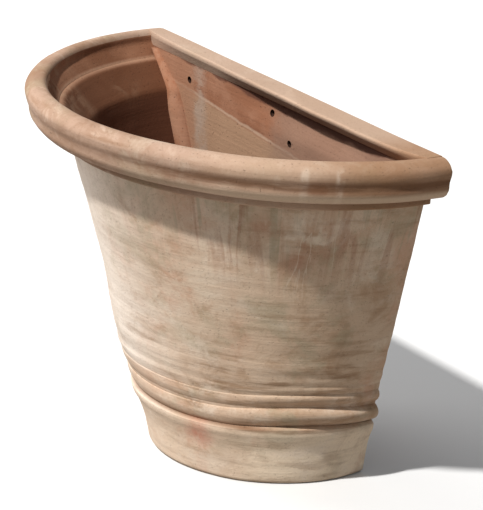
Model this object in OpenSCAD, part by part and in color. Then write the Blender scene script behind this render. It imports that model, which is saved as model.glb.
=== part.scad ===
// Half-round terracotta wall planter, in millimetres.
// A round pot is thrown in two lengths, cut by one straight plane and closed with a flat slab at the back.
// The base stands on z = 0. The cut plane leans: its foot is behind the turning axis, its top is close to it.
// Every piece is a separate clay member. They meet face to face, as they do before they are luted and fired.

/* [Overall size] */
// height of the crest of the rim above the ground
crest_z = 357; // [330:1:380]
// largest radius of the rolled rim, half the width of the planter
rim_r = 251; // [225:1:276]
// distance of the back face behind the turning axis, at the ground
back_foot_y = 37.5; // [30:0.5:50]
// angle by which the back face leans forward from upright
back_lean = 5.5; // [0:0.5:6.5]

/* [Walls] */
// outer radius of the upper wall at its lower end
wall_r_low = 128.5; // [116:0.5:141]
// distance of the wall inside the largest radius of the rim, under the collar
rim_overhang = 42; // [38:0.5:46]
// thickness of the thrown walls, measured level
wall_t = 21; // [17:0.5:24]
// thickness of the base slab
base_t = 22; // [16:0.5:26]
// thickness of the back slab
slab_t = 18; // [12:0.5:24]

/* [Foot] */
// height of the thrown foot, up to the joint with the upper wall
foot_h = 60; // [54:1:66]
// distance by which the top of the foot stands out of the upper wall
foot_lip_proud = 4; // [2:0.5:6]
// height of the upright part at the top of the foot
foot_lip_h = 8; // [6:1:12]
// height of the flare under it
flare_h = 11; // [8:1:16]
// distance by which the foot draws in along the flare
flare_in = 7.5; // [5:0.5:10]
// distance by which the foot draws in from the flare down to the ground
foot_taper = 9.5; // [6:0.5:14]
// radius of the rounding along the lower edge of the foot
foot_round = 5; // [2:0.5:8]

/* [Rolled rim] */
// width of the roll, from the inner edge of its crest to its largest radius
roll_w = 21; // [18:0.5:24]
// radius of the rounding along the inner edge of the crest
crest_round = 4.5; // [3:0.5:6]
// radius of the rounding of the shoulder
shoulder_round = 7; // [5:0.5:8]
// drop of the top of the shoulder below the crest
shoulder_drop = 4; // [2:0.5:5]
// radius of the rounding along the lower edge of the roll
chin_round = 7; // [5:0.5:9]
// distance of the lower edge of the roll inside its largest radius
chin_inset = 10; // [6:0.5:12]
// drop of the underside of the roll, at its lower edge, below the crest
chin_drop = 40.5; // [36:0.5:42]

/* [Inside of the rim] */
// drop below the crest of the foot of the upright lip
lip_drop = 15; // [14:0.5:18]
// drop below the crest of the ledge on top of the upper wall
ledge_drop = 24; // [21:0.5:28]
// width of that ledge
ledge_w = 4.5; // [3:0.5:6]
// drop below the crest of the line where the inside of the wall turns outwards
crease_drop = 48; // [42:1:56]

/* [Strip along the back of the rim] */
// distance by which the strip overhangs the back slab inside
strip_overhang = 10; // [6:0.5:14]
// thickness of the strip
strip_t = 14; // [10:0.5:14]

/* [Bands of the outside] */
// drop of the top of the collar below the crest
collar_drop = 44; // [42:0.5:46]
// height of the collar
collar_h = 7.5; // [6:0.5:9]
// distance by which the collar stands out of the wall at its top
collar_proud = 7.5; // [5:0.5:9]
// radius of the rounding of the lower edge of the collar
collar_round = 2.5; // [1.5:0.5:3]
// height of the middle of the waist bead above the joint with the foot
bead_rise = 8; // [6:0.5:8.5]
// distance by which the waist bead stands out of the wall
bead_proud = 8; // [6:0.5:10]
// radius of the section of the waist bead
bead_round = 9; // [8.5:0.5:10]
// height of the middle of the ridge above the middle of the bead
ridge_rise = 20; // [18:0.5:22]
// distance by which that ridge stands out of the wall
ridge_proud = 3.5; // [2:0.5:5]
// radius of the section of that ridge
ridge_round = 8; // [7:0.5:9]
// height of the middle of the fine upper ridge above the middle of the ridge
fine_ridge_rise = 14; // [12:0.5:17]
// distance by which the fine upper ridge stands out of the wall
fine_ridge_proud = 2; // [1:0.5:3]
// radius of the section of the fine upper ridge
fine_ridge_round = 6; // [5:0.5:7]

/* [Coils in the inside corners] */
// radius of the coils pressed into the inside corners
coil_r = 12; // [8:0.5:15]
// radius to which the two upright coils thin out at the top
coil_tip_r = 4; // [2:0.5:6]
// length over which they thin out, each way from the crease
coil_thinning = 15; // [10:1:20]

/* [Holes] */
// radius of the small holes through the back slab
tie_hole_r = 3.5; // [2.5:0.25:5]
// sideways places of the small holes, from the middle
tie_hole_x = [-159, -16, 18];
// distances of the small holes below the crest, measured down the slab
tie_hole_depth = [31, 27, 48];
// radius of the drain hole
drain_r = 12; // [8:0.5:15]
// distance of the drain hole in front of the turning axis
drain_forward = 40; // [30:1:55]

/* [Hidden] */
// how far cutting shapes run past the part
reach = 600;
// how far the straight sides of a section lie below its rounds
side_sink = 0.1;
// height of the middle of the waist bead
bead_z = foot_h + bead_rise;
// height of the middle of the ridge above the bead
ridge_z = bead_z + ridge_rise;
// height of the middle of the fine upper ridge
fine_ridge_z = ridge_z + fine_ridge_rise;
// height where the flare of the foot ends
foot_lip_z = foot_h - foot_lip_h;
// height where the flare of the foot begins
foot_flare_z = foot_lip_z - flare_h;
// radius of the foot above the flare
foot_r_lip = wall_r_low + foot_lip_proud;
// radius of the foot where the flare begins
foot_r_flare = foot_r_lip - flare_in;
// radius of the foot on the ground
foot_r_ground = foot_r_flare - foot_taper;
// height of the top and of the lower edge of the collar
collar_top_z = crest_z - collar_drop;
collar_z = collar_top_z - collar_h;
// height of the crease, of the ledge and of the foot of the lip inside the rim
crease_z = crest_z - crease_drop;
ledge_z = crest_z - ledge_drop;
lip_foot_z = crest_z - lip_drop;
// growth of the wall radius for each millimetre of height
wall_slope = (rim_r - rim_overhang - wall_r_low) / (collar_z - foot_h);
// outer radius of the upper wall at a height
function wall_r(z) = wall_r_low + wall_slope * (z - foot_h);
// outer radius of the lower foot at a height
function foot_r(z) = foot_r_ground + foot_taper * z / foot_flare_z;
// distance of the front face of the back slab from the turning axis, at a height
function slab_front_y(z) = back_foot_y - z * tan(back_lean) - slab_t / cos(back_lean);
// place of the inside corner between wall and back slab, for an inner radius at a height
function corner(r, z) = [-sqrt(r * r - slab_front_y(z) * slab_front_y(z)), slab_front_y(z), z];
// direction of the common tangent, left of the way from one round to the next
function touch(c1, r1, c2, r2) =
    atan2(c2[1] - c1[1], c2[0] - c1[0]) + acos((r1 - r2) / norm(c2 - c1));
// point of a round in a direction
function on_round(c, r, a) = c + r * [cos(a), sin(a)];

// shift that puts the origin under the middle of the outer box
centre_y = (rim_r - back_foot_y) / 2;
// radius inside the foot on top of the base slab
floor_r = foot_r(base_t) - wall_t;
// radius inside the wall at the joint of foot and upper wall
joint_r = wall_r_low - wall_t;
// radius inside the wall at the crease
crease_r = wall_r(crease_z) - wall_t;
// radius of the inner edge of the ledge
ledge_r = wall_r(ledge_z) - ledge_w;
// radius of the inner edge of the crest
crest_r = rim_r - roll_w;
// underside of the strip along the back of the rim
strip_z = crest_z - strip_t;
// width of that strip, measured square to the back face
strip_w = slab_t + strip_overhang;
// radius of the outer face of the collar
collar_r = wall_r(collar_top_z) + collar_proud;
// centre of the rounding along the inner edge of the crest
crest_c = [crest_r + crest_round, crest_z - crest_round];
// centre of the rounding of the shoulder
shoulder_c = [rim_r - shoulder_round, crest_z - shoulder_drop - shoulder_round];
// centre of the rounding along the lower edge of the roll
chin_c = [rim_r - chin_inset - chin_round, crest_z - chin_drop + chin_round];
// centre of the rounding along the lower edge of the foot
foot_c = [foot_r_ground - foot_round, foot_round];

clay = [0.78, 0.58, 0.45];
$fn = 96;

// everything behind a plane that lies a given depth in front of the back face
module behind(depth) {
    translate([0, back_foot_y, 0])
        rotate([back_lean, 0, 0])
            translate([-reach, -depth, -reach])
                cube(2 * reach);
}

// turns a section about the axis and cuts it a given depth in front of the back face
module half_turned(depth) {
    difference() {
        rotate_extrude()
            children();
        behind(depth);
    }
}

// section of the inside space, from the base slab to the underside of the back strip
module space_section() {
    polygon([
        [0, base_t],
        [floor_r, base_t],
        [joint_r, foot_h],
        [crease_r, crease_z],
        [ledge_r, ledge_z],
        [wall_r(ledge_z), ledge_z],
        [crest_r, lip_foot_z],
        [crest_r, strip_z],
        [0, strip_z]
    ]);
}

// section of the foot, with the base slab still in it
module foot_section() {
    side_turn = touch([foot_r_flare, foot_flare_z], 0, foot_c, foot_round);
    polygon([
        [0, 0],
        [foot_c[0], 0],
        foot_c,
        on_round(foot_c, foot_round - side_sink, side_turn),
        [foot_r_flare, foot_flare_z],
        [foot_r_lip, foot_lip_z],
        [foot_r_lip, foot_h],
        [0, foot_h]
    ]);
    translate(foot_c)
        circle(foot_round);
}

// section of the upper wall without its hollow
module upper_section() {
    polygon([
        [0, foot_h],
        [wall_r_low, foot_h],
        [wall_r(ledge_z), ledge_z],
        [0, ledge_z]
    ]);
    translate([wall_r(fine_ridge_z) + fine_ridge_proud - fine_ridge_round, fine_ridge_z])
        circle(fine_ridge_round);
}

// section of the base slab inside the foot wall
module base_section() {
    polygon([
        [0, 0],
        [foot_r_ground - wall_t, 0],
        [floor_r, base_t],
        [0, base_t]
    ]);
}

// section of the rolled rim: three rounds with straight sides between them
module roll_section() {
    top_turn = touch(crest_c, crest_round, shoulder_c, shoulder_round);
    side_turn = touch(shoulder_c, shoulder_round, chin_c, chin_round);
    collar_top = [collar_r, collar_top_z];
    under_turn = touch(chin_c, chin_round, collar_top, 0);
    polygon([
        [crest_r, lip_foot_z],
        [wall_r(ledge_z), ledge_z],
        [wall_r(collar_top_z), collar_top_z],
        collar_top,
        on_round(chin_c, chin_round - side_sink, under_turn),
        on_round(chin_c, chin_round - side_sink, side_turn),
        on_round(shoulder_c, shoulder_round - side_sink, side_turn),
        on_round(shoulder_c, shoulder_round - side_sink, top_turn),
        on_round(crest_c, crest_round - side_sink, top_turn),
        crest_c,
        [crest_r, crest_c[1]]
    ]);
    translate(shoulder_c)
        circle(shoulder_round);
    translate(chin_c)
        circle(chin_round);
    translate(crest_c)
        circle(crest_round);
}

// round coil that stands out of the upper wall, not reaching below the joint with the foot
module wall_coil(proud, z, round) {
    difference() {
        half_turned(0)
            translate([wall_r(z) + proud - round, z])
                circle(round);
        rotate_extrude()
            polygon([
                [0, 0],
                [wall_r_low, 0],
                [wall_r_low, foot_h],
                [wall_r(ledge_z), ledge_z],
                [0, ledge_z]
            ]);
        translate([-reach, -reach, foot_h - 2 * reach])
            cube(2 * reach);
    }
}

// the inside space in front of the back slab
module space() {
    half_turned(slab_t)
        space_section();
}

// the ring and the straight coil that run around the top of the base slab
module base_coils() {
    rotate_extrude()
        translate([floor_r, base_t])
            circle(coil_r);
    translate([-reach, slab_front_y(base_t), base_t])
        rotate([0, 90, 0])
            cylinder(h = 2 * reach, r = coil_r);
}

// the coil that climbs the inside corner between wall and back slab and thins out at the crease
module corner_coil() {
    joint = corner(joint_r, foot_h);
    crease = corner(crease_r, crease_z);
    way = (crease - joint) / (crease_z - foot_h);
    length = norm(way) * crease_z;
    translate(crease - way * crease_z)
        rotate([0, acos(1 / norm(way)), atan2(way[1], way[0])])
            rotate_extrude()
                polygon([
                    [0, 0],
                    [coil_r, 0],
                    [coil_r, length - coil_thinning],
                    [coil_tip_r, length + coil_thinning],
                    [0, length + coil_thinning]
                ]);
}

// flat disc of clay inside the foot, cut straight at the back, with the drain hole
module base_slab() {
    difference() {
        half_turned(slab_t)
            base_section();
        translate([0, -drain_forward, -base_t])
            cylinder(h = 3 * base_t, r = drain_r);
    }
}

// thrown foot that flares out under the waist bead
module foot_wall() {
    half_turned(slab_t)
        difference() {
            foot_section();
            base_section();
            space_section();
        }
}

// tapered upper wall, turned outwards inside at the top
module front_wall() {
    half_turned(slab_t)
        difference() {
            upper_section();
            space_section();
        }
}

// leaning slab that closes the back, with three small holes
module back_slab() {
    difference() {
        intersection() {
            rotate_extrude()
                union() {
                    foot_section();
                    polygon([
                        [0, foot_h],
                        [wall_r_low, foot_h],
                        [wall_r(ledge_z), ledge_z],
                        [crest_r, lip_foot_z],
                        [crest_r, strip_z],
                        [0, strip_z]
                    ]);
                }
            difference() {
                behind(slab_t);
                behind(0);
            }
        }
        for (i = [0 : len(tie_hole_x) - 1])
            translate([0, back_foot_y, 0])
                rotate([back_lean, 0, 0])
                    translate([tie_hole_x[i], slab_t, crest_z / cos(back_lean) - tie_hole_depth[i]])
                        rotate([90, 0, 0])
                            cylinder(h = 3 * slab_t, r = tie_hole_r);
    }
}

// rolled rim around the front, with its inner edge left square beside the strip
module rim_roll() {
    half_turned(0)
        roll_section();
    intersection() {
        half_turned(0)
            translate([crest_r, crest_c[1]])
                square(crest_round);
        behind(strip_w - strip_t / 2);
    }
}

// strip that closes the rim along the back, with a round front edge
module back_rim_strip() {
    nose = strip_t / 2;
    intersection() {
        half_turned(0)
            translate([0, strip_z])
                square([crest_r, strip_t]);
        translate([0, back_foot_y - strip_z * tan(back_lean) - strip_w / cos(back_lean), strip_z]) {
            translate([-reach, nose, 0])
                cube([2 * reach, reach, strip_t]);
            translate([-reach, nose, nose])
                rotate([0, 90, 0])
                    cylinder(h = 2 * reach, r = nose);
        }
    }
}

// flat collar under the roll, with a rounded lower edge
module collar_band() {
    half_turned(0)
        difference() {
            union() {
                translate([0, collar_z + collar_round])
                    square([collar_r, collar_h - collar_round]);
                translate([0, collar_z])
                    square([collar_r - collar_round, collar_h]);
                translate([collar_r - collar_round, collar_z + collar_round])
                    circle(collar_round);
            }
            upper_section();
        }
}

// thick coil around the waist, over the joint of foot and upper wall
module waist_bead() {
    wall_coil(bead_proud, bead_z, bead_round);
}

// thinner coil above the waist bead
module waist_ridge() {
    wall_coil(ridge_proud, ridge_z, ridge_round);
}

// coil in the left inside corner of wall and back slab
module left_seam_coil() {
    difference() {
        intersection() {
            space();
            corner_coil();
        }
        base_coils();
    }
}

// coil in the right inside corner of wall and back slab
module right_seam_coil() {
    mirror([1, 0, 0])
        left_seam_coil();
}

// coil pressed into the corner all around the top of the base slab
module base_seam_coil() {
    intersection() {
        space();
        base_coils();
    }
}

// puts a piece into the frame of the part, in the colour of the clay
module placed() {
    color(clay)
        translate([0, centre_y, 0])
            children();
}

placed() base_slab();
placed() foot_wall();
placed() front_wall();
placed() back_slab();
placed() rim_roll();
placed() back_rim_strip();
placed() collar_band();
placed() waist_bead();
placed() waist_ridge();
placed() left_seam_coil();
placed() right_seam_coil();
placed() base_seam_coil();
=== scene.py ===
"""Looks of the half-round terracotta wall planter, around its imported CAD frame, in metres.

Every clay member is turned or rolled as the potter makes it: a section is spun about the turning axis, cut by
the leaning back plane, closed, and then worked by the same field of small hand-made movements, so that the
members still meet face to face.
"""
import math

import bmesh
import bpy
from mathutils import Matrix, Vector, noise


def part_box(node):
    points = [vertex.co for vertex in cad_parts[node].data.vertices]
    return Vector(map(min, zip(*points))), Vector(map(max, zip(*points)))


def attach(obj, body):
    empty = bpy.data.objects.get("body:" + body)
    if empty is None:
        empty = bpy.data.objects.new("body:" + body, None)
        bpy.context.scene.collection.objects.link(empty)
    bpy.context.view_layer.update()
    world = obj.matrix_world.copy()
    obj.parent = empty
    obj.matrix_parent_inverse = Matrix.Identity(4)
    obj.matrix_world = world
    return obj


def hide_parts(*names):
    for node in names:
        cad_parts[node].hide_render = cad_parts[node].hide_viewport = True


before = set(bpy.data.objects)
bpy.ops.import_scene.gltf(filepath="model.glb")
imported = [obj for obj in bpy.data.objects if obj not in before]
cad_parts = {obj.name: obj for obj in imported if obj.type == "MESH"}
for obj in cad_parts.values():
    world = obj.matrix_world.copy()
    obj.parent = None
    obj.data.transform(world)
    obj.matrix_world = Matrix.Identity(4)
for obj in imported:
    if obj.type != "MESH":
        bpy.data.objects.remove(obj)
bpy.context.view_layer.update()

MM = 0.001

# Sizes of the pot: read from the frame where a node gives them, and as in the solids elsewhere

rim_low, rim_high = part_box("rim_roll")
wall_low, wall_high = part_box("front_wall")
rim_r = (rim_high[0] - rim_low[0]) / 2
crest_z = rim_high[2]
axis_y = rim_low[1] + rim_r
foot_h = wall_low[2]
ledge_z = wall_high[2]
strip_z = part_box("back_rim_strip")[0][2]
back_foot_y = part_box("back_slab")[1][1]
back_lean = math.radians(5.5)
wall_r_low = 128.5 * MM
rim_overhang = 42 * MM
wall_t = 21 * MM
base_t = 22 * MM
slab_t = 18 * MM
collar_top_z = crest_z - 44 * MM
collar_z = collar_top_z - 7.5 * MM
collar_proud = 7.5 * MM
crease_z = crest_z - 48 * MM
ledge_w = 4.5 * MM
lip_foot_z = crest_z - 15 * MM
crest_r = rim_r - 21 * MM
wall_slope = (rim_r - rim_overhang - wall_r_low) / (collar_z - foot_h)

flare_z = 41 * MM
flare_run = 9.5 * MM
foot_lip_r = wall_r_low + 4 * MM
flare_r = foot_lip_r - 7.5 * MM
ground_r = flare_r - flare_run
floor_r = ground_r - wall_t + flare_run * base_t / flare_z
FOOT_OUTSIDE = [
    (ground_r, 0),
    (flare_r, flare_z),
    (foot_lip_r, 53 * MM),
    (foot_lip_r, 57.5 * MM),
    (foot_lip_r - 3 * MM, foot_h),
]
FOOT_ROUNDS = {1: 4.5 * MM, 2: 11 * MM, 3: 5 * MM, 4: 1.8 * MM}

BACK_FOOT = Vector((0, back_foot_y, 0))
BACK_WAY = Vector((0, math.cos(back_lean), math.sin(back_lean)))
BACK_DOWN = Vector((0, math.sin(back_lean), -math.cos(back_lean)))


def wall_r(z):
    """Outer radius of the plain upper wall at a height."""
    return wall_r_low + wall_slope * (z - foot_h)


def inner_r(z):
    """Radius of the inside of the wall at a height, up to the ledge."""
    straight = wall_r(z) - wall_t
    if z <= foot_h:
        return straight
    crease_r = wall_r(crease_z) - wall_t
    flare = (wall_r(ledge_z) - ledge_w - crease_r) / (ledge_z - crease_z)
    return max(straight, crease_r + flare * (z - crease_z))


def slab_front_y(z):
    """Where the front of the slab lies at a height."""
    return back_foot_y - z * math.tan(back_lean) - slab_t / math.cos(back_lean)


# The hand of the potter: one field of small movements for all the members

RIPPLE_DEPTH = 0.9 * MM
RIPPLES_FROM = (92 * MM, 104 * MM)
RIPPLES_TO = (165 * MM, 125 * MM)
BAND_RISE = 7 * MM
BAND_RISE_AT = math.radians(68)
BAND_RISE_WIDTH = math.radians(26)
BAND_Z = 78 * MM
BAND_REACH = 46 * MM
BANDS_END_Z = 112 * MM
WORN_SHARE_LEFT = 0.28
WORN_SHARE_RIGHT = 1.0
WORN_UP_TO = math.radians(20)
UNWORN_FROM = math.radians(98)
BELLY = 8 * MM
BELLY_AT = math.radians(-34)
BELLY_WIDTH = math.radians(38)
BELLY_Z = 105 * MM
BELLY_REACH = 55 * MM
STILL_R = 40 * MM
STILL_Z = 12 * MM


def smooth_step(low, high, value):
    """0 at low, 1 at high, and a smooth way between them. It falls where low is above high."""
    t = min(1.0, max(0.0, (value - low) / (high - low)))
    return t * t * (3 - 2 * t)


def hump(middle, width, value):
    """1 at the middle, falling away on both sides."""
    return math.exp(-((value - middle) / width) ** 2)


def wave(x, y, z):
    return noise.noise(Vector((x, y, z)))


def hand_worked(place):
    """Where a point of the true shape ends up in the hand-made pot."""
    x, y, z = place
    forward = axis_y - y
    radius = max(math.hypot(x, forward), 1e-6)
    azimuth = math.atan2(x, forward)
    side, front = math.sin(azimuth), math.cos(azimuth)
    outward = MM * (
        1.1 * wave(x * 7, y * 7, z * 6)
        + 0.55 * wave(x * 26 + 9, y * 26, z * 30)
        + 0.16 * wave(x * 85, y * 85 + 5, z * 95)
        + 0.28 * wave(side * 1.3, front * 1.3, z * 150))
    # turning lines above the bands
    near_ripples = smooth_step(*RIPPLES_FROM, z) * smooth_step(*RIPPLES_TO, z)
    outward += RIPPLE_DEPTH * near_ripples * wave(side * 0.8, front * 0.8 + 4, z * 105)
    # the bands rise towards the right
    lift = 0.8 * MM * wave(x * 9 + 3, y * 9 + 7, z * 4)
    near_band = smooth_step(BAND_REACH, 0, abs(z - BAND_Z))
    lift += BAND_RISE * near_band * hump(BAND_RISE_AT, BAND_RISE_WIDTH, azimuth)
    # the left of the wall bellies out
    outward += BELLY * hump(BELLY_AT, BELLY_WIDTH, azimuth) * hump(BELLY_Z, BELLY_REACH, z)
    # what stands out of the wall is worn flat, most of all towards the left
    proud = radius - wall_r(z)
    if foot_h - 0.5 * MM < z < BANDS_END_Z and proud > 0:
        unworn = smooth_step(WORN_UP_TO, UNWORN_FROM, azimuth)
        kept = WORN_SHARE_LEFT + (WORN_SHARE_RIGHT - WORN_SHARE_LEFT) * unworn
        outward -= proud * (1 - kept)
    # nothing moves on the turning axis, and the foot stays on the ground
    outward *= min(1.0, radius / STILL_R)
    lift *= min(1.0, z / STILL_Z)
    return Vector((x + outward * x / radius, y - outward * forward / radius, z + lift))


# Tools of the workshop

WELD = 0.02 * MM


def round_corner(bm, vert, size):
    """Rounds a corner of a flat outline."""
    bmesh.ops.bevel(bm, geom=[vert], affect="VERTICES", offset=size, segments=5, profile=0.5, material=-1)


def divide_edges(bm, spacing):
    for edge in bm.edges[:]:
        cuts = int(edge.calc_length() / spacing)
        if cuts:
            bmesh.ops.subdivide_edges(bm, edges=[edge], cuts=cuts)


def section_mesh(corners, rounds, spacing, at=0.0):
    """A bmesh that holds the closed outline of a section, drawn as (radius, height) corners in the half
    plane at an azimuth. rounds gives a corner's rounding, by its index."""
    bm = bmesh.new()
    direction = Vector((math.sin(at), -math.cos(at), 0))
    centre = Vector((0, axis_y, 0))
    verts = [bm.verts.new(centre + direction * r + Vector((0, 0, z))) for r, z in corners]
    bm.faces.new(verts)
    for index, size in (rounds or {}).items():
        round_corner(bm, verts[index], size)
    bmesh.ops.delete(bm, geom=bm.faces[:], context="FACES_ONLY")
    divide_edges(bm, spacing)
    return bm


def spin(bm, angle, steps, closed=False):
    """Spins all that the mesh holds about the turning axis."""
    bmesh.ops.spin(
        bm, geom=bm.verts[:] + bm.edges[:], cent=(0, axis_y, 0), axis=(0, 0, 1),
        angle=angle, steps=steps, use_merge=closed)


def face_outwards(bm):
    bmesh.ops.recalc_face_normals(bm, faces=bm.faces[:])


def weld(bm):
    bmesh.ops.remove_doubles(bm, verts=bm.verts[:], dist=WELD)
    face_outwards(bm)


def slice_at(bm, place, way, **cleared):
    """Cuts all that the mesh holds by a plane."""
    return bmesh.ops.bisect_plane(
        bm, geom=bm.verts[:] + bm.edges[:] + bm.faces[:], dist=1e-6, plane_co=place, plane_no=way, **cleared)


def slice_along(bm, axis, low, high, spacing):
    """Cuts large flat faces across an axis, so that they can be worked by hand."""
    way = Vector((0, 0, 0))
    way[axis] = 1
    steps = int((high - low) / spacing)
    for i in range(1, steps):
        slice_at(bm, way * (low + (high - low) * i / steps), way)


def cut_behind(bm, depth, keep_front=True):
    """Cuts by the plane that lies a depth in front of the leaning back face, and closes the cut."""
    cut = slice_at(
        bm, BACK_FOOT - BACK_WAY * depth, BACK_WAY, clear_outer=keep_front, clear_inner=not keep_front)
    edges = [e for e in cut["geom_cut"] if isinstance(e, bmesh.types.BMEdge)]
    bmesh.ops.holes_fill(bm, edges=edges, sides=0)


def turned(corners, rounds=None, depth=0.0, spacing=2.5 * MM, steps=280):
    """A section spun about the turning axis, past the plane that then cuts it a depth in front of the back."""
    narrowest = min(r for r, z in corners)
    reach = math.radians(92) + math.asin((back_foot_y - axis_y) / narrowest)
    bm = section_mesh(corners, rounds, spacing, -reach)
    spin(bm, 2 * reach, steps)
    cut_behind(bm, depth)
    weld(bm)
    return bm


def turned_whole(corners, rounds, steps):
    """A section that touches the turning axis, spun a whole turn about it."""
    bm = section_mesh(corners, rounds, 4 * MM)
    spin(bm, 2 * math.pi, steps, closed=True)
    weld(bm)
    return bm


def soften_edges(bm, times):
    """Smooths the clay along the sharp edges, as a wet sponge does."""
    near = {
        v for e in bm.edges if len(e.link_faces) == 2 and e.calc_face_angle(0) > math.radians(35)
        for v in e.verts}
    for _ in range(times):
        bmesh.ops.smooth_vert(
            bm, verts=[v for v in bm.verts if v in near], factor=0.5,
            use_axis_x=True, use_axis_y=True, use_axis_z=True)


def bored(bm, places, way, radius, length):
    """The mesh with round holes cut through it."""
    mesh = bpy.data.meshes.new("uncut")
    bm.to_mesh(mesh)
    bm.free()
    cutter_bm = bmesh.new()
    turn = way.to_track_quat("Z", "Y").to_matrix().to_4x4()
    for place in places:
        bmesh.ops.create_cone(
            cutter_bm, cap_ends=True, segments=24, radius1=radius, radius2=radius, depth=length,
            matrix=Matrix.Translation(place) @ turn)
    cutter_mesh = bpy.data.meshes.new("cutter")
    cutter_bm.to_mesh(cutter_mesh)
    cutter_bm.free()
    uncut = bpy.data.objects.new("uncut", mesh)
    cutter = bpy.data.objects.new("cutter", cutter_mesh)
    for thing in (uncut, cutter):
        bpy.context.scene.collection.objects.link(thing)
    cut = uncut.modifiers.new("holes", "BOOLEAN")
    cut.operation = "DIFFERENCE"
    cut.solver = "EXACT"
    cut.object = cutter
    done = uncut.evaluated_get(bpy.context.evaluated_depsgraph_get())
    result = bmesh.new()
    result.from_mesh(done.to_mesh())
    done.to_mesh_clear()
    for thing, data in ((uncut, mesh), (cutter, cutter_mesh)):
        bpy.data.objects.remove(thing)
        bpy.data.meshes.remove(data)
    face_outwards(result)
    return result


def finish_piece(name, bm, nodes, materials, pick=None):
    """Works the mesh by hand, makes the object and lets it stand for its CAD nodes."""
    for v in bm.verts:
        v.co = hand_worked(v.co)
    bm.normal_update()
    for face in bm.faces:
        face.smooth = True
        if pick:
            face.material_index = pick(face)
    for edge in bm.edges:
        if len(edge.link_faces) == 2 and edge.calc_face_angle(0) > math.radians(50):
            edge.smooth = False
    bmesh.ops.triangulate(bm, faces=[f for f in bm.faces if len(f.verts) > 4])
    mesh = bpy.data.meshes.new(name)
    bm.to_mesh(mesh)
    bm.free()
    for material in materials:
        mesh.materials.append(material)
    piece = bpy.data.objects.new(name, mesh)
    bpy.context.scene.collection.objects.link(piece)
    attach(piece, "root")
    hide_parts(*nodes)


# Materials

GROOVE = (58.5 * MM, 63 * MM)
BANDS = (61 * MM, 95 * MM)
RIPPLED = (64 * MM, 140 * MM)
ROLL_FACE = (318 * MM, 352 * MM)
UNDER_ROLL = (330 * MM, 340 * MM)
BETWEEN_DRIPS = (328 * MM, 342 * MM)
ROLL_CHIN = (318 * MM, 327 * MM)
TIDE_Z = 300.3 * MM


def srgb(tone):
    """A colour named in screen values, as the linear colour of a socket."""
    linear = [c / 255 / 12.92 if c <= 10 else ((c / 255 + 0.055) / 1.055) ** 2.4 for c in tone]
    return (*linear, 1.0)


def add_node(tree, kind, inputs=None, **settings):
    """A new node with its settings, and its inputs linked or set to a value."""
    made = tree.nodes.new(kind)
    for key, value in settings.items():
        setattr(made, key, value)
    for key, value in (inputs or {}).items():
        if isinstance(value, bpy.types.NodeSocket):
            tree.links.new(value, made.inputs[key])
        else:
            made.inputs[key].default_value = value
    return made


def new_material(name):
    """A material with an empty node tree."""
    material = bpy.data.materials.new(name)
    material.use_nodes = True
    material.node_tree.nodes.clear()
    return material


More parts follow.
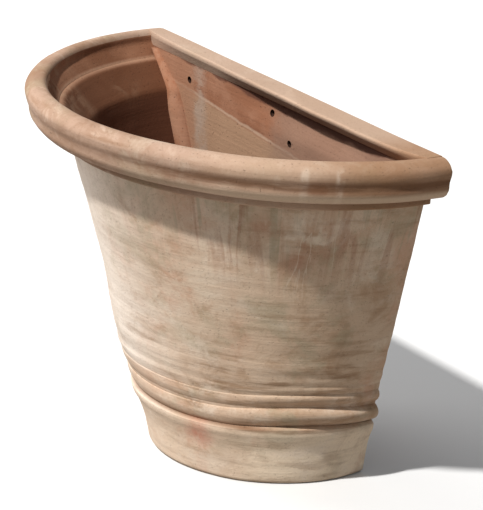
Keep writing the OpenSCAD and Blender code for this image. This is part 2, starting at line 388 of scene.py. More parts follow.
class ClayGraph:
    """Shorthand for the node tree of one clay material. It keeps the colour as it stands so far."""

    def __init__(self, name):
        self.material = new_material(name)
        self.tree = self.material.node_tree
        self.colour = None
        self.place = self.add("ShaderNodeTexCoord").outputs["Object"]
        split = self.add("ShaderNodeSeparateXYZ", {"Vector": self.place})
        self.x, self.y, self.z = (split.outputs[k] for k in "XYZ")
        from_axis = self.vector_maths("ADD", self.place, (0, -axis_y, 0))
        flat = self.vector_maths("MULTIPLY", from_axis, (1, 1, 0))
        self.outward = self.vector_maths("NORMALIZE", flat)
        self.side = self.add("ShaderNodeSeparateXYZ", {"Vector": self.outward}).outputs["X"]

    def add(self, kind, inputs=None, **settings):
        return add_node(self.tree, kind, inputs, **settings)

    def maths(self, operation, a, b=0.0, c=0.0):
        return self.add("ShaderNodeMath", {0: a, 1: b, 2: c}, operation=operation).outputs[0]

    def vector_maths(self, operation, *values):
        made = self.add("ShaderNodeVectorMath", dict(enumerate(values)), operation=operation)
        return made.outputs["Value" if operation == "DISTANCE" else "Vector"]

    def on_turning(self, round_scale, height_scale, shift=0.0):
        """Coordinates that follow the turned surface: round the axis and up."""
        spread = self.vector_maths("MULTIPLY", self.outward, (round_scale, round_scale, 0))
        high = self.maths("MULTIPLY_ADD", self.z, height_scale, shift)
        up = self.add("ShaderNodeCombineXYZ", {"X": shift, "Z": high}).outputs[0]
        return self.vector_maths("ADD", spread, up)

    def noise(self, vector, scale=1.0, detail=4.0, roughness=0.55, distortion=0.0):
        return self.add("ShaderNodeTexNoise", {
            "Vector": vector, "Scale": scale, "Detail": detail, "Roughness": roughness,
            "Distortion": distortion}).outputs["Fac"]

    def stretch(self, value, low, high, out_low=0.0, out_high=1.0):
        """Maps low to out_low and high to out_high, smoothly, and holds them beyond."""
        return self.add("ShaderNodeMapRange", {
            "Value": value, "From Min": low, "From Max": high, "To Min": out_low, "To Max": out_high},
            interpolation_type="SMOOTHSTEP", clamp=True).outputs["Result"]

    def times(self, *masks):
        result = masks[0]
        for mask in masks[1:]:
            result = self.maths("MULTIPLY", result, mask)
        return result

    def blend(self, below, above, mask):
        return self.add("ShaderNodeMix", {0: mask, 6: below, 7: above}, data_type="RGBA").outputs[2]

    def clay(self, tone, other, mask):
        """Starts the colour: the clay's own tone, and another where the mask is."""
        self.colour = self.blend(srgb(tone), srgb(other), mask)

    def tint(self, tone, *masks):
        """Lays a tone over the colour so far, as far as all the masks allow."""
        self.colour = self.blend(self.colour, srgb(tone), self.times(*masks))

    def band(self, low, high, soft):
        """1 between two heights, fading over soft at both."""
        rising = self.stretch(self.z, low - soft, low + soft)
        falling = self.stretch(self.z, high - soft, high + soft, 1.0, 0.0)
        return self.times(rising, falling)

    def spot(self, azimuth, radius, height, size):
        """1 at a place on the turned surface, fading out over its size. The azimuth is in degrees."""
        angle = math.radians(azimuth)
        middle = (radius * math.sin(angle), axis_y - radius * math.cos(angle), height)
        return self.stretch(self.vector_maths("DISTANCE", self.place, middle), 0.0, size, 1.0, 0.0)

    def near_azimuth(self, azimuth, half_width):
        """1 near an azimuth, in degrees, on the turned surface."""
        angle = math.radians(azimuth)
        away = self.vector_maths("DISTANCE", self.outward, (math.sin(angle), -math.cos(angle), 0))
        return self.stretch(away, half_width * 0.3, half_width, 1.0, 0.0)

    def fired(self, pore_tone, pore_share, grain_tone=None):
        """Tints the pores and the grain of fired clay, and returns them as bump layers."""
        grain = self.noise(self.place, 420, 5, 0.62)
        pores = self.stretch(self.noise(self.place, 520, 2, 0.5), 0.24, 0.34)
        self.tint(pore_tone, self.stretch(pores, 1.0, 0.0), pore_share)
        if grain_tone:
            self.tint(grain_tone, self.stretch(grain, 0.52, 0.8), 0.3)
        return [(grain, 0.3 * MM), (pores, 0.5 * MM)]

    def turning_marks(self):
        """The fine lines of turning, as a bump layer."""
        return self.noise(self.on_turning(1.2, 260), 1.0, 3, 0.5), 0.35 * MM

    def finish(self, uneven, smoothest, roughest, layers):
        """Links the colour, a roughness that follows an uneven value and a stack of (height, distance)
        bumps to the shader."""
        normal = None
        for height, distance in layers:
            inputs = {"Height": height, "Distance": distance, "Strength": 1.0}
            if normal is not None:
                inputs["Normal"] = normal
            normal = self.add("ShaderNodeBump", inputs).outputs["Normal"]
        shader = self.add("ShaderNodeBsdfPrincipled", {
            "Base Color": self.colour, "Roughness": self.stretch(uneven, 0.2, 0.8, smoothest, roughest),
            "Specular IOR Level": 0.25, "Normal": normal})
        self.add("ShaderNodeOutputMaterial", {"Surface": shader.outputs[0]})
        return self.material


def outside_clay():
    """The outside of wall, foot and coils, which stands in sun and rain."""
    g = ClayGraph("weathered_clay_outside")
    # bleached on the side that stands in the sun, dull on the other
    cloud = g.noise(g.place, 8, 4, 0.55, 0.4)
    around = g.maths("MULTIPLY_ADD", cloud, 0.5, g.side)
    g.clay((216, 191, 168), (244, 231, 218), g.stretch(around, 0.75, -0.15))
    g.tint((206, 180, 154), g.stretch(around, 0.55, 1.3))
    # the foot is cleaner, and painted light makes its right side paler; the bands are browner
    foot = g.stretch(g.z, 66 * MM, 50 * MM)
    g.tint((218, 194, 170), foot, 0.85)
    # painted light: the right of the foot made paler where the foot catches more light
    g.tint((250, 232, 206), foot, g.stretch(g.side, 0.55, 0.92), 0.65)
    bands = g.band(*BANDS, 4 * MM)
    g.tint((204, 175, 150), bands, 0.85)
    g.tint((174, 143, 115), bands, g.stretch(g.side, 0.6, 0.95), 0.5)
    # clouds of brown, pink clay and grey-green film
    above_foot = g.stretch(g.z, 54 * MM, 64 * MM, 0.5, 1.0)
    worked_side = g.stretch(g.side, -0.35, 0.35, 0.35, 1.0)
    mottle = g.noise(g.place, 24, 7, 0.66, 0.7)
    g.tint((168, 134, 104), g.stretch(mottle, 0.50, 0.68), above_foot, worked_side, 0.55)
    g.tint((238, 222, 204), g.stretch(mottle, 0.47, 0.30), 0.5)
    pink = g.noise(g.on_turning(1.8, 10, 11.0), 1.0, 6, 0.64, 0.5)
    g.tint((198, 148, 120), g.stretch(pink, 0.50, 0.66), worked_side, 0.5)
    film = g.noise(g.place, 15, 6, 0.66, 0.5)
    g.tint((168, 158, 132), g.stretch(film, 0.49, 0.64), above_foot, worked_side, 0.5)
    # streaks that run round the pot, most of all on the lower wall
    streak = g.noise(g.on_turning(2.4, 100, 3.0), 1.0, 5, 0.6, 0.2)
    low_wall = g.stretch(g.z, 190 * MM, 120 * MM)
    streaked = g.maths("MAXIMUM", low_wall, g.stretch(g.side, 0.4, 0.9, 0.15, 0.55))
    g.tint((142, 108, 78), g.stretch(streak, 0.50, 0.70), streaked, above_foot, worked_side, 0.7)
    g.tint((230, 210, 188), g.stretch(streak, 0.47, 0.28), low_wall, worked_side, 0.5)
    # paler swirl where the wall was wiped, in the middle of what the front shows
    g.tint((222, 206, 184), g.spot(28, 180 * MM, 205 * MM, 85 * MM), g.stretch(mottle, 0.62, 0.40), 0.5)
    # pale bloom of salts
    scribble = g.noise(g.place, 30, 7, 0.7, 0.35)
    cover = g.noise(g.on_turning(2.0, 8, 1.0), 1.0, 3, 0.55)
    g.tint((230, 214, 196), g.stretch(scribble, 0.46, 0.62), g.stretch(cover, 0.42, 0.62), 0.5)
    # washes that run down from under the rim
    wash = g.noise(g.on_turning(11, 5, 2.0), 1.0, 6, 0.62, 1.3)
    under_rim = g.times(g.stretch(g.z, 190 * MM, 280 * MM), g.stretch(g.side, 0.1, 0.75, 0.25, 1.0))
    g.tint((156, 106, 82), g.stretch(wash, 0.50, 0.66), under_rim, 0.5)
    g.tint((158, 150, 124), g.stretch(wash, 0.47, 0.34), under_rim, 0.5)
    # redder clay shows through high on the right
    for azimuth, height, size in ((52, 284, 26), (66, 270, 34), (60, 246, 26)):
        bare = g.spot(azimuth, wall_r(height * MM), height * MM, size * MM)
        g.tint((180, 124, 98), bare, g.stretch(mottle, 0.35, 0.6), 0.5)
    # thin lime trails on the right of the upper wall
    wander = g.maths("SUBTRACT", g.noise(g.on_turning(9, 9, 6.0), 1.0, 3, 0.5, 0.8), 0.5)
    trails = g.stretch(g.maths("ABSOLUTE", wander), 0.022, 0.0)
    g.tint((222, 206, 184), trails, g.spot(62, 192 * MM, 258 * MM, 75 * MM), 0.7)
    # dirt and painted shade in the groove over the foot, and a reddish blotch below it where newer clay shows
    g.tint((120, 84, 58), g.band(*GROOVE, 2.2 * MM), g.stretch(g.side, 0.98, 0.7, 0.25, 1.0), 0.75)
    blotch = g.spot(25, 127 * MM, 46 * MM, 22 * MM)
    g.tint((200, 124, 102), blotch, g.stretch(scribble, 0.2, 0.6), 0.9)
    layers = g.fired((110, 80, 60), 0.12, (130, 100, 76)) + [g.turning_marks()]
    ripples = g.noise(g.on_turning(0.8, 140, 8.0), 1.0, 2, 0.5)
    layers.append((g.times(ripples, g.band(*RIPPLED, 16 * MM), worked_side), 0.8 * MM))
    return g.finish(cloud, 0.85, 0.97, layers)


def back_clay():
    """The back face and the cut ends: scraped flat, never in the sun, dusty from the wall behind."""
    g = ClayGraph("scraped_clay_back")
    cloud = g.noise(g.place, 9, 5, 0.6, 0.4)
    g.clay((204, 174, 150), (182, 146, 120), g.stretch(cloud, 0.35, 0.66))
    mottle = g.noise(g.place, 26, 6, 0.66, 0.6)
    g.tint((158, 124, 98), g.stretch(mottle, 0.50, 0.70), 0.5)
    g.tint((226, 206, 186), g.stretch(mottle, 0.46, 0.30), 0.5)
    # long shallow marks of the wooden rib, drawn a little slanted
    slanted = g.maths("MULTIPLY_ADD", g.x, 0.24, g.z)
    drawn = g.add("ShaderNodeCombineXYZ", {
        "X": g.maths("MULTIPLY", g.x, 6), "Z": g.maths("MULTIPLY", slanted, 190)})
    scraped = g.noise(drawn.outputs[0], 1.0, 4, 0.55)
    g.tint((160, 124, 98), g.stretch(scraped, 0.52, 0.72), 0.4)
    # damp that rises from the ground
    damp = g.stretch(g.maths("MULTIPLY_ADD", mottle, 60 * MM, g.z), 90 * MM, 40 * MM)
    g.tint((150, 122, 98), damp, 0.5)
    layers = g.fired((110, 80, 60), 0.15, (130, 100, 76)) + [(scraped, 0.6 * MM)]
    return g.finish(cloud, 0.86, 0.97, layers)


def rim_clay():
    """The rolled rim, its collar and the strip behind."""
    g = ClayGraph("weathered_clay_rim")
    cloud = g.noise(g.place, 11, 4, 0.55, 0.5)
    g.clay((180, 150, 130), (158, 126, 104), g.stretch(cloud, 0.35, 0.68))
    # streaks along the roll, clouds of brown and grey-green film
    streak = g.noise(g.on_turning(3.2, 110, 5.0), 1.0, 5, 0.6)
    g.tint((146, 112, 86), g.stretch(streak, 0.49, 0.70), 0.65)
    mottle = g.noise(g.place, 30, 7, 0.66, 0.6)
    g.tint((142, 108, 82), g.stretch(mottle, 0.49, 0.66), 0.6)
    g.tint((212, 188, 168), g.stretch(mottle, 0.46, 0.29), 0.5)
    film = g.noise(g.place, 16, 5, 0.62, 0.3)
    g.tint((162, 144, 116), g.stretch(film, 0.50, 0.66), 0.45)
    # paler on the right, browner at the right end with painted shade there, and the strip paler again
    g.tint((188, 158, 134), g.stretch(g.side, 0.5, 0.75), g.stretch(g.side, 0.99, 0.88), 0.7)
    # browner clay and painted shade at the right end of the roll
    g.tint((150, 112, 80), g.stretch(g.side, 0.84, 0.96), 0.65)
    g.tint((186, 160, 140), g.stretch(g.y, 72 * MM, 84 * MM), g.stretch(g.x, 225 * MM, 150 * MM), 0.7)
    # pale bloom of salts, less of it at the right end
    scribble = g.noise(g.place, 30, 6, 0.66, 0.4)
    cover = g.noise(g.place, 7, 3, 0.55)
    left_of_end = g.stretch(g.side, 0.94, 0.78, 0.3, 1.0)
    g.tint((206, 186, 166), g.stretch(scribble, 0.47, 0.64), g.stretch(cover, 0.42, 0.62), left_of_end, 0.5)
    # two lime drips across the face of the roll
    ragged = g.stretch(g.noise(g.place, 60, 4, 0.6), 0.35, 0.55)
    for azimuth in (59, 66.2):
        g.tint((220, 200, 180), g.near_azimuth(azimuth, 0.022), g.band(*ROLL_FACE, 5 * MM), ragged, 0.5)
    # painted shade under the roll, where its underside turns from the light, and a dark damp stain between the
    # drips
    painted_shade_under_roll = g.times(g.band(*UNDER_ROLL, 3.5 * MM), g.stretch(g.side, -0.2, 0.6))
    # painted shade: the band under the roll darkened where it is in shade
    g.tint((112, 78, 54), painted_shade_under_roll, g.stretch(streak, 0.2, 0.6), 0.85)
    g.tint((118, 76, 48), g.near_azimuth(62.5, 0.075), g.band(*BETWEEN_DRIPS, 4 * MM), ragged, 0.5)
    # the chin of the roll is painted pale: a painted highlight where its lower lip catches the light
    g.tint((218, 194, 168), g.band(*ROLL_CHIN, 3 * MM), g.stretch(g.side, 0.2, 0.8), 0.7)
    layers = g.fired((96, 66, 48), 0.15, (126, 94, 70)) + [g.turning_marks()]
    return g.finish(cloud, 0.82, 0.96, layers)


def inside_clay():
    """The inside of the wall: lighter above the crease, with painted shade below it."""
    g = ClayGraph("clay_inside_and_painted_shade")
    cloud = g.noise(g.place, 12, 5, 0.6, 0.6)
    g.clay((150, 106, 80), (122, 80, 56), g.stretch(cloud, 0.35, 0.66))
    # painted shade on the steep part under the ledge, and a painted highlight along the ledge's edge
    g.tint((98, 60, 38), g.stretch(g.z, ledge_z + 1 * MM, ledge_z - 3 * MM), 0.85)
    g.tint((184, 146, 120), g.band(ledge_z - 0.5 * MM, ledge_z + 1.5 * MM, 1.5 * MM), 0.7)
    # bloom of salts
    scribble = g.noise(g.place, 34, 6, 0.66, 1.0)
    cover = g.noise(g.place, 8, 3, 0.5)
    g.tint((168, 138, 112), g.stretch(scribble, 0.42, 0.60), g.stretch(cover, 0.45, 0.62), 0.4)
    # painted shade below the crease, with a ragged edge
    ragged = g.maths("MULTIPLY_ADD", scribble, 9 * MM, g.z)
    g.tint((82, 48, 32), g.stretch(ragged, crease_z + 6 * MM, crease_z - 4 * MM), 0.85)
    layers = g.fired((80, 50, 38), 0.4, (90, 60, 44)) + [g.turning_marks()]
    return g.finish(cloud, 0.86, 0.97, layers)


def smeared_clay():
    """The coils smeared into the inside corners."""
    g = ClayGraph("smeared_clay_coil")
    cloud = g.noise(g.place, 18, 5, 0.6, 0.4)
    g.clay((168, 124, 99), (152, 102, 74), g.stretch(cloud, 0.38, 0.62))
    stain = g.noise(g.place, 45, 5, 0.6, 0.6)
    g.tint((152, 98, 68), g.stretch(stain, 0.52, 0.66), 0.6)
    # painted shade: the coils darker down in the pot
    g.tint((112, 74, 54), g.stretch(g.z, 280 * MM, 200 * MM), 0.7)
    layers = g.fired((80, 50, 38), 0.4) + [g.turning_marks()]
    return g.finish(cloud, 0.86, 0.97, layers)


def slab_clay():
    """The front of the back slab: orange clay above a tide mark, dusty below it."""
    g = ClayGraph("dusty_clay_slab")
    cloud = g.noise(g.place, 14, 5, 0.6, 0.6)
    g.clay((168, 122, 96), (146, 98, 72), g.stretch(cloud, 0.35, 0.66))
    # dust below the slanted tide mark, and the line of salt along it
    scribble = g.noise(g.place, 40, 6, 0.66, 0.8)
    tilted = g.maths("MULTIPLY_ADD", g.x, 0.092, g.z)
    wavy = g.maths("MULTIPLY_ADD", scribble, 5 * MM, tilted)
    g.tint((178, 146, 118), g.stretch(wavy, TIDE_Z + 2 * MM, TIDE_Z - 3 * MM), 0.7)
    above_tide = g.stretch(wavy, TIDE_Z - 1 * MM, TIDE_Z + 1 * MM)
    g.tint((212, 186, 162), above_tide, g.stretch(wavy, TIDE_Z + 4 * MM, TIDE_Z + 1.5 * MM), 0.5)
    # grey smear left of the middle, and the pinker clay beyond it
    ragged = g.noise(g.place, 70, 5, 0.6, 0.4)
    spread = g.maths("MULTIPLY_ADD", ragged, 22 * MM, g.x)
    smear = g.times(g.stretch(spread, -150 * MM, -134 * MM), g.stretch(spread, -112 * MM, -128 * MM))
    g.tint((176, 154, 138), smear, g.stretch(scribble, 0.3, 0.6), 0.75)
    g.tint((168, 124, 98), g.stretch(spread, -134 * MM, -146 * MM), 0.7)
    # dry and greyer on the right
    g.tint((142, 114, 97), g.stretch(g.maths("MULTIPLY_ADD", ragged, 40 * MM, g.x), -15 * MM, 30 * MM), 0.7)
    # painted shadow under the overhang of the strip, carrying its cast shadow further down the slab
    under = g.maths("MULTIPLY_ADD", g.noise(g.place, 30, 4, 0.55), 12 * MM, g.z)
    width = g.times(g.stretch(g.x, -150 * MM, 10 * MM), g.stretch(g.x, 215 * MM, 110 * MM))
    painted_strip_shadow_line = g.maths("MULTIPLY_ADD", width, 10 * MM, under)
    g.tint((92, 58, 46), g.stretch(painted_strip_shadow_line, crest_z - 10 * MM, crest_z - 6.5 * MM), 0.85)
    # painted shade, darker down in the pot
    g.tint((120, 84, 60), g.stretch(g.z, 250 * MM, 120 * MM), 0.8)
    layers = g.fired((96, 60, 44), 0.4, (120, 82, 60)) + [g.turning_marks()]
    return g.finish(cloud, 0.86, 0.97, layers)


def painted_hole_shade():
    """Painted shade inside the small holes: dark brown spotted clay."""
    g = ClayGraph("hole_clay_painted_shade")
    spots = g.noise(g.place, 600, 4, 0.6)
    g.clay((44, 28, 20), (84, 52, 36), g.stretch(spots, 0.4, 0.7))
    return g.finish(spots, 0.85, 0.98, [(spots, 0.3 * MM)])


clay_outside = outside_clay()
clay_rim = rim_clay()
clay_inside = inside_clay()
clay_slab = slab_clay()
clay_hole_shade = painted_hole_shade()
clay_coil = smeared_clay()
clay_back = back_clay()


def facing_axis(face):
    """1 on the faces that look at the turning axis, 0 on the others."""
    middle = face.calc_center_median()
    outward = Vector((middle.x, middle.y - axis_y, 0))
    inward = face.normal.dot(outward) < -0.1 * outward.length
    return 1 if inward or (middle.z > crease_z and face.normal.z > 0.3) else 0


def seen_behind(face):
    """True on the faces that lie along the back plane."""
    return face.normal.dot(BACK_WAY) > 0.8


def part_of_rim(face):
    """1 on the lip and the slope inside the rim, 2 on the cut ends, 0 on the roll."""
    if seen_behind(face):
        return 2
    middle = face.calc_center_median()
    radius = math.hypot(middle.x, middle.y - axis_y)
    return 1 if radius < crest_r + 1.5 * MM and middle.z < crest_z - 5 * MM else 0


# The members

TUCK = 3 * MM
FINE_RIDGE_Z = 102 * MM
FINE_RIDGE_HALF = 5 * MM
FINE_RIDGE_PROUD = 2 * MM
COIL_SINK = 1.2 * MM
SEAM_COIL_R = 12 * MM
SEAM_COIL_THINNED = 7.5 * MM

# each corner of the roll: in from its edge, down from its crest, and rounding, in mm
ROLL_SECTION = (
    (6, 1.5, 5), (0, 8, 3), (0.3, 15, 3.5), (4, 23.5, 3.5), (4, 30, 3.3), (11, 38.5, 5))

# each small hole through the slab: x, and down the back from the crest, in mm
TIE_HOLES = ((-159, 31), (-16, 27), (18, 48))
TIE_HOLE_R = 3.5 * MM
DRAIN_HOLE_R = 12 * MM
DRAIN_HOLE_AHEAD = 40 * MM

# the shallow hollow in the front of the slab, under the strip
HOLLOW_DEPTH = 7.5 * MM
HOLLOW_START = crest_z - 20 * MM
HOLLOW_END = crest_z - 46 * MM

STRIP_OVERHANG = 9 * MM
STRIP_NOSE_H = 4.5 * MM


def turned_wall():
    ridge_low, ridge_high = FINE_RIDGE_Z - FINE_RIDGE_HALF, FINE_RIDGE_Z + FINE_RIDGE_HALF
    corners = [
        (wall_r_low - wall_t, foot_h),
        (wall_r_low, foot_h),
        (wall_r(ridge_low), ridge_low),
        (wall_r(FINE_RIDGE_Z) + FINE_RIDGE_PROUD, FINE_RIDGE_Z),
        (wall_r(ridge_high), ridge_high),
        (wall_r(ledge_z), ledge_z),
        (wall_r(ledge_z) - ledge_w, ledge_z),
        (wall_r(crease_z) - wall_t, crease_z),
    ]
    bm = turned(corners, {3: 2.5 * MM, 6: 3.5 * MM, 7: 3 * MM}, slab_t, spacing=2.9 * MM, steps=260)
    finish_piece("turned_wall", bm, ["front_wall"], [clay_outside, clay_inside], facing_axis)


def thrown_foot():
    corners = [(ground_r - wall_t, 0), *FOOT_OUTSIDE, (wall_r_low - wall_t, foot_h), (floor_r, base_t)]
    bm = turned(corners, FOOT_ROUNDS, slab_t)
    finish_piece("thrown_foot", bm, ["foot_wall"], [clay_outside, clay_inside], facing_axis)


def wall_coil(name, node, z, half_height, proud, fullness, count):
    """A coil of clay laid round the wall, pressed flat on it."""
    corners = []
    for i in range(count + 1):
        t = -1 + 2 * i / count
        height = z + t * half_height
        bulge = (proud + COIL_SINK) * (1 - t * t) ** fullness
        corners.append((wall_r(height) - COIL_SINK + bulge, height))
    corners.append((wall_r(z + half_height) - TUCK, z + half_height))
    corners.append((wall_r(z - half_height) - TUCK, z - half_height))
    finish_piece(name, turned(corners), [node], [clay_outside, clay_back], seen_behind)


def collar_ring():
    collar_r = wall_r(collar_top_z) + collar_proud
    corners = [
        (wall_r(collar_z) - TUCK, collar_z),
        (collar_r - 0.5 * MM, collar_z),
        (collar_r, collar_top_z),
        (wall_r(collar_top_z) - TUCK, collar_top_z),
    ]
    bm = turned(corners, {1: 2.2 * MM}, spacing=2 * MM)
    finish_piece("collar_ring", bm, ["collar_band"], [clay_rim, clay_back], seen_behind)


def rolled_rim():
    corners = [
        (crest_r, crest_z - 11 * MM),
        (crest_r, crest_z),
        *((rim_r - inset * MM, crest_z - drop * MM) for inset, drop, rounding in ROLL_SECTION),
        (wall_r(collar_top_z) + collar_proud, collar_top_z),
        (wall_r(collar_top_z) - 2 * MM, collar_top_z),
        (wall_r(ledge_z), ledge_z),
    ]
    rounds = {0: 2.5 * MM, 1: 7 * MM}
    for index, (inset, drop, rounding) in enumerate(ROLL_SECTION, start=2):
        rounds[index] = rounding * MM
    bm = turned(corners, rounds, steps=360)
    soften_edges(bm, 2)
    finish_piece("rolled_rim", bm, ["rim_roll"], [clay_rim, clay_inside, clay_back], part_of_rim)


def cut_back():
    """The slab: the whole form of the pot, kept between the back plane and the slab's front."""
    corners = [
        (0, 0),
        *FOOT_OUTSIDE,
        (wall_r_low, foot_h),
        (wall_r(ledge_z), ledge_z),
        (crest_r, lip_foot_z),
        (crest_r, strip_z),
        (0, strip_z),
    ]
    bm = turned_whole(corners, FOOT_ROUNDS, 300)
    cut_behind(bm, 0.0)
    cut_behind(bm, slab_t, keep_front=False)
    slice_along(bm, 0, -rim_r, rim_r, 4.5 * MM)
    slice_along(bm, 2, 0, crest_z, 4.5 * MM)
    crest = BACK_FOOT - BACK_DOWN * (crest_z / math.cos(back_lean))
    places = [crest + Vector((x * MM, 0, 0)) + BACK_DOWN * depth * MM for x, depth in TIE_HOLES]
    bm = bored(bm, places, BACK_WAY, TIE_HOLE_R, 3 * slab_t)

    def pick(face):
        """1 on the front, 2 in the holes, 3 on the back, 0 on the outer edge."""
        backward = face.normal.dot(BACK_WAY)
        if backward < -0.6:
            return 1
        middle = face.calc_center_median()
        in_hole = any(((middle - place) - BACK_WAY * (middle - place).dot(BACK_WAY)).length < 5 * MM
                      for place in places)
        if in_hole and abs(backward) < 0.5:
            return 2
        return 3 if seen_behind(face) else 0

    for v in bm.verts:
        ahead = (BACK_FOOT - v.co).dot(BACK_WAY) - slab_t + 0.5 * MM
        if ahead > 0:
            along = smooth_step(-110 * MM, 60 * MM, v.co.x) * smooth_step(190 * MM, 90 * MM, v.co.x)
            ragged_z = v.co.z + 4 * MM * wave(v.co.x * 28, 4.0, 0)
            v.co += BACK_WAY * HOLLOW_DEPTH * along * smooth_step(HOLLOW_END, HOLLOW_START, ragged_z)
    finish_piece("cut_back", bm, ["back_slab"], [clay_outside, clay_slab, clay_hole_shade, clay_back], pick)


def rim_strip():
    """The strip along the back of the rim: its front edge is an undercut nose that overhangs the slab."""
    half_length = math.sqrt((crest_r + 6 * MM) ** 2 - 10 * MM * 10 * MM)
    back_low = Vector((0, back_foot_y - strip_z * math.tan(back_lean), strip_z))
    back_high = Vector((0, back_foot_y - crest_z * math.tan(back_lean), crest_z))
    tuck = Vector((0, -0.3 * MM, 0))
    drop = Vector((0, 0, -0.35 * MM))
    forward = Vector((0, -slab_t - STRIP_OVERHANG, 0))
    corners = [
        back_low + tuck,
        back_high + tuck + drop,
        back_high + drop + forward,
        back_high + forward + Vector((0, 0.6 * MM, -STRIP_NOSE_H)),
        back_low + Vector((0, -slab_t - 0.5 * MM, 0)),
    ]
    bm = bmesh.new()
    verts = [bm.verts.new(corner - Vector((half_length, 0, 0))) for corner in corners]
    bm.faces.new(verts)
    round_corner(bm, verts[2], 2.2 * MM)
    round_corner(bm, verts[3], 1.6 * MM)
    divide_edges(bm, 2.5 * MM)
    grown = bmesh.ops.extrude_face_region(bm, geom=bm.faces[:])
    moved = [v for v in grown["geom"] if isinstance(v, bmesh.types.BMVert)]
    bmesh.ops.translate(bm, verts=moved, vec=(2 * half_length, 0, 0))
    face_outwards(bm)
    slice_along(bm, 0, -half_length, half_length, 3 * MM)
    for v in bm.verts:
        ahead = (back_low.y - slab_t) - v.co.y
        if ahead > 0:
            reach = 0.6 + 0.5 * smooth_step(-130 * MM, 30 * MM, v.co.x)
            reach *= 1 - min(1.0, abs(v.co.x) / half_length) ** 8
            wobble = 1 + 0.16 * wave(v.co.x * 22, 2.0, 0)
            v.co.y += ahead * (1 - reach * wobble)
    finish_piece("rim_strip", bm, ["back_rim_strip"], [clay_rim, clay_back], seen_behind)


def base_disc():
    corners = [(0, 0), (ground_r - wall_t, 0), (floor_r, base_t), (0, base_t)]
    bm = turned_whole(corners, None, 120)
    cut_behind(bm, slab_t)
    drain = Vector((0, axis_y - DRAIN_HOLE_AHEAD, 0))
    bm = bored(bm, [drain], Vector((0, 0, 1)), DRAIN_HOLE_R, 4 * base_t)
    finish_piece("base_disc", bm, ["base_slab"], [clay_inside])


def inside_corner(z, side):
    """Where the inside of the wall meets the slab's front at a height, left (-1) or right (1)."""
    y = slab_front_y(z)
    return Vector((side * math.sqrt(inner_r(z) ** 2 - (y - axis_y) ** 2), y, z))


def corner_coil(name, node, side):
    """A coil pressed into the inside corner of wall and slab, smeared out thin above the crease."""
    low, high = 14 * MM, strip_z - 2 * MM
    thin_z = crease_z - 20 * MM
    steps = 110
    place, size = inside_corner(low, side), SEAM_COIL_R
    bm = bmesh.new()
    bmesh.ops.create_circle(bm, cap_ends=True, segments=32, radius=size, matrix=Matrix.Translation(place))
    edges = bm.edges[:]
    for i in range(1, steps + 1):
        z = low + (high - low) * i / steps
        thinned = min(1.0, max(0.0, (z - thin_z) / (high - thin_z)))
        next_size = SEAM_COIL_R - SEAM_COIL_THINNED * thinned
        next_place = inside_corner(z, side)
        grown = bmesh.ops.extrude_edge_only(bm, edges=edges)["geom"]
        verts = [v for v in grown if isinstance(v, bmesh.types.BMVert)]
        edges = [e for e in grown if isinstance(e, bmesh.types.BMEdge)]
        shape = Matrix.Diagonal((next_size / size, next_size / size, 1, 1))
        bmesh.ops.transform(
            bm, matrix=Matrix.Translation(next_place) @ shape @ Matrix.Translation(-place), verts=verts)
        place, size = next_place, next_size
    bmesh.ops.holes_fill(bm, edges=edges, sides=0)
    face_outwards(bm)
    finish_piece(name, bm, [node], [clay_coil])


def base_coil():
    """The coil round the top of the base, and the straight one along the foot of the slab."""
    bm = bmesh.new()
    reach = math.radians(110)
    across = Matrix.Rotation(math.pi / 2, 4, "Y")
    start = Vector((0, axis_y, base_t)) + Vector((math.sin(-reach), -math.cos(-reach), 0)) * floor_r
    bmesh.ops.create_circle(
        bm, cap_ends=False, radius=SEAM_COIL_R, segments=36,
        matrix=Matrix.Translation(start) @ Matrix.Rotation(-reach, 4, "Z") @ across)
    spin(bm, 2 * reach, 160)
    cut_behind(bm, slab_t)
    rod_y = slab_front_y(base_t)
    half = math.sqrt(floor_r ** 2 - (rod_y - axis_y) ** 2)
    bmesh.ops.create_cone(
        bm, cap_ends=True, segments=36, radius1=SEAM_COIL_R, radius2=SEAM_COIL_R, depth=2 * half,
        matrix=Matrix.Translation((0, rod_y, base_t)) @ across)
    face_outwards(bm)
    finish_piece("base_corner_coil", bm, ["base_seam_coil"], [clay_inside])


turned_wall()
thrown_foot()
wall_coil("bead_coil", "waist_bead", z=69.6 * MM, half_height=9.6 * MM, proud=8 * MM, fullness=0.82, count=20)
wall_coil("ridge_coil", "waist_ridge", z=88.5 * MM, half_height=7.5 * MM, proud=4 * MM, fullness=0.85, count=14)
collar_ring()
rolled_rim()
cut_back()
rim_strip()
base_disc()
corner_coil("left_corner_coil", "left_seam_coil", -1)
corner_coil("right_corner_coil", "right_seam_coil", 1)
base_coil()


# Floor, light and camera

FLOOR_HALF = 12
SEEN_FLOOR = (0.78, 0.78, 0.78, 1)
UNSEEN_FLOOR = (0.3, 0.28, 0.26, 1)
LAMP_DISTANCE = 3

PHOTO_LONG_SIDE = 510
SENSOR = 36.0
FOCAL_PIXELS = 3096.6
CAMERA_AZIMUTH = 55.74
CAMERA_ELEVATION = 18.449
CAMERA_ROLL = math.radians(3.794)
CAMERA_DISTANCE = 3.0
AIM = Vector((0, axis_y, 125 * MM))
SHIFT_RIGHT = -32.4 * MM
SHIFT_UP = 61.7 * MM


def added(name, data):
    """A new object in the scene."""
    thing = bpy.data.objects.new(name, data)
    bpy.context.scene.collection.objects.link(thing)
    return thing


def direction(azimuth, altitude):
    """The way towards a place in the sky, from degrees."""
    turn, rise = math.radians(azimuth), math.radians(altitude)
    return Vector((math.sin(turn) * math.cos(rise), -math.cos(turn) * math.cos(rise), math.sin(rise)))


def lamp(name, kind, azimuth, altitude, **settings):
    """A lamp that shines at the middle of the pot."""
    data = bpy.data.lights.new(name, kind)
    for key, value in settings.items():
        setattr(data, key, value)
    thing = added(name, data)
    toward = direction(azimuth, altitude)
    thing.location = Vector((0, axis_y, crest_z / 2)) + toward * LAMP_DISTANCE
    thing.rotation_euler = toward.to_track_quat("Z", "Y").to_euler()


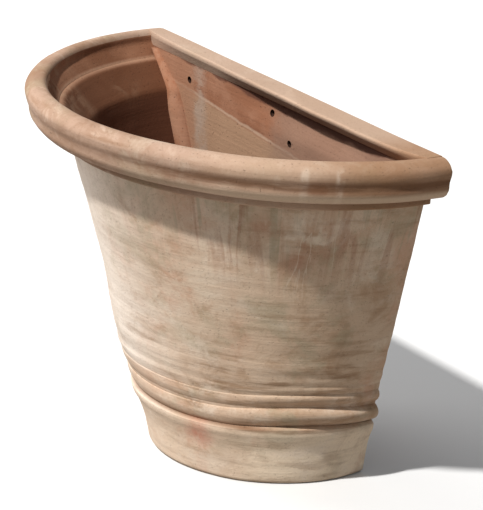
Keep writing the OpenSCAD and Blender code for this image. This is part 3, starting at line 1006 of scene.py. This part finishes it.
def floor_paint():
    """Pale where the camera sees the floor, itself or in glass and metal, and plainer in the light it throws."""
    paint = new_material("pale_floor")
    tree = paint.node_tree
    ray = add_node(tree, "ShaderNodeLightPath").outputs
    seen = ray["Is Camera Ray"]
    for kind in ("Is Glossy Ray", "Is Transmission Ray"):
        seen = add_node(tree, "ShaderNodeMath", {0: seen, 1: ray[kind]}, operation="MAXIMUM").outputs[0]
    pale = add_node(tree, "ShaderNodeBsdfDiffuse", {"Color": SEEN_FLOOR})
    plain = add_node(tree, "ShaderNodeBsdfDiffuse", {"Color": UNSEEN_FLOOR})
    either = add_node(tree, "ShaderNodeMixShader", {0: seen, 1: plain.outputs[0], 2: pale.outputs[0]})
    add_node(tree, "ShaderNodeOutputMaterial", {"Surface": either.outputs[0]})
    return paint


floor_mesh = bpy.data.meshes.new("floor")
floor_bm = bmesh.new()
bmesh.ops.create_grid(floor_bm, x_segments=1, y_segments=1, size=FLOOR_HALF)
floor_bm.to_mesh(floor_mesh)
floor_bm.free()
floor_mesh.materials.append(floor_paint())
floor = added("floor", floor_mesh)

lamp("key_light", "SUN", 13, 50.5, energy=4.0, angle=math.radians(2.5), color=(1.0, 0.985, 0.96))
lamp("fill_light", "AREA", -62, 30, shape="DISK", size=2.2, energy=46, color=(1.0, 0.98, 0.96))

world = bpy.data.worlds.new("studio")
bpy.context.scene.world = world
world.use_nodes = True
sky = world.node_tree.nodes["Background"].inputs
sky["Color"].default_value = (0.94, 0.97, 1.0, 1)
sky["Strength"].default_value = 0.29

back = direction(CAMERA_AZIMUTH, CAMERA_ELEVATION)
level_right = direction(CAMERA_AZIMUTH + 90, 0)
level_up = back.cross(level_right)
right = math.cos(CAMERA_ROLL) * level_right + math.sin(CAMERA_ROLL) * level_up
up = math.cos(CAMERA_ROLL) * level_up - math.sin(CAMERA_ROLL) * level_right
camera_data = bpy.data.cameras.new("camera")
camera_data.sensor_width = SENSOR
camera_data.lens = FOCAL_PIXELS / PHOTO_LONG_SIDE * SENSOR
camera = added("camera", camera_data)
turn = Matrix((right, up, back)).transposed().to_4x4()
camera.matrix_world = Matrix.Translation(
    AIM + SHIFT_RIGHT * right + SHIFT_UP * up + CAMERA_DISTANCE * back) @ turn
bpy.context.scene.camera = camera
bpy.context.scene.view_settings.view_transform = "Standard"
